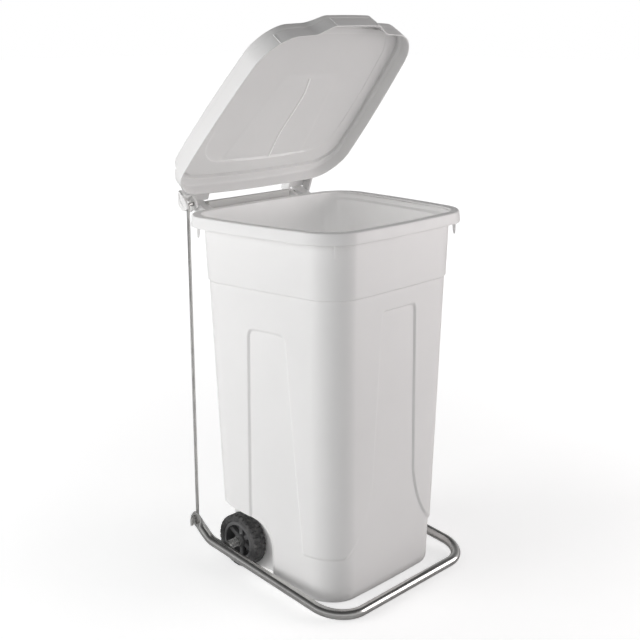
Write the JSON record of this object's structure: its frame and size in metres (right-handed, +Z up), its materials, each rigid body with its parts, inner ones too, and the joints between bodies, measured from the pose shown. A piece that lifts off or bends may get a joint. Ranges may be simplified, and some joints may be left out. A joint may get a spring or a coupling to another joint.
{
  "type": "pedal bin",
  "caption": "Tall tapered mobile waste bin with a domed hinged lid, a bent steel tube pedal that lifts the lid through a push rod, and two rear wheels.",
  "frame": {"origin": "middle of the bounding box at floor level, with the lid open and the pedal down", "axes": "+X to the bin's left as seen from the front, +Y towards the hinge and wheels, +Z up; the pedal bar is at -Y"},
  "size_m": [0.5052, 0.4962, 1.1952],
  "materials": {
    "tub_plastic": "moulded white polyethylene, satin",
    "lid_plastic": "moulded white polyethylene, satin",
    "lever_plastic": "moulded off-white plastic",
    "fastener_steel": "zinc-plated steel",
    "rod_steel": "bright drawn steel rod",
    "pedal_steel": "polished stainless tube",
    "boss_steel": "turned steel sleeve",
    "axle_steel": "zinc-plated steel",
    "black_plastic": "black polyethylene",
    "wheel_plastic": "black moulded polypropylene",
    "tyre_rubber": "dark rubber tread",
    "bush_nylon": "natural nylon"
  },
  "bodies": {
    "tub": {"tub": "tub_plastic", "axle": "axle_steel", "hinge_pin_left": "fastener_steel", "hinge_pin_right": "fastener_steel", "hinge_clip_left": "fastener_steel", "hinge_clip_right": "fastener_steel", "washer_inner_left": "fastener_steel", "washer_inner_right": "fastener_steel", "washer_outer_left": "fastener_steel", "washer_outer_right": "fastener_steel"},
    "lid": {"lid": "lid_plastic", "lid_lever": "lever_plastic", "lever_screw_upper": "fastener_steel", "lever_screw_lower": "fastener_steel"},
    "pedal": {"pedal_frame": "pedal_steel", "pedal_end_plug": "black_plastic", "pedal_boss_left": "boss_steel", "pedal_boss_right": "boss_steel"},
    "push_rod": {"push_rod": "rod_steel", "rod_clip_upper": "fastener_steel", "rod_clip_lower": "fastener_steel"},
    "wheel_left": {"wheel_left": "wheel_plastic", "tyre_left": "tyre_rubber", "hub_bush_left": "bush_nylon"},
    "wheel_right": {"wheel_right": "wheel_plastic", "tyre_right": "tyre_rubber", "hub_bush_right": "bush_nylon"}
  },
  "joints": [
    {"name": "pedal_hinge", "type": "hinge", "parent": "tub", "child": "pedal", "pos_m": [0, 0.1114, 0.0605], "axis": [1, 0, 0], "range_deg": [-12.6, 0]},
    {"name": "lid_hinge", "type": "hinge", "parent": "tub", "child": "lid", "pos_m": [0, 0.2371, 0.8], "axis": [1, 0, 0], "range_deg": [0, 49.4]},
    {"name": "rod_hinge", "type": "hinge", "parent": "pedal", "child": "push_rod", "pos_m": [-0.219, 0.2042, 0.1061], "axis": [1, 0, 0], "range_deg": [0, 13.26]},
    {"name": "wheel_left_spin", "type": "hinge", "parent": "tub", "child": "wheel_left", "pos_m": [-0.159, 0.1114, 0.0605], "axis": [1, 0, 0], "continuous": true},
    {"name": "wheel_right_spin", "type": "hinge", "parent": "tub", "child": "wheel_right", "pos_m": [0.159, 0.1114, 0.0605], "axis": [1, 0, 0], "continuous": true}
  ],
  "couplings": [
    {"joint": "lid_hinge", "follows": "pedal_hinge", "ratio": -3.92},
    {"joint": "rod_hinge", "follows": "pedal_hinge", "ratio": -1.052}
  ]
}
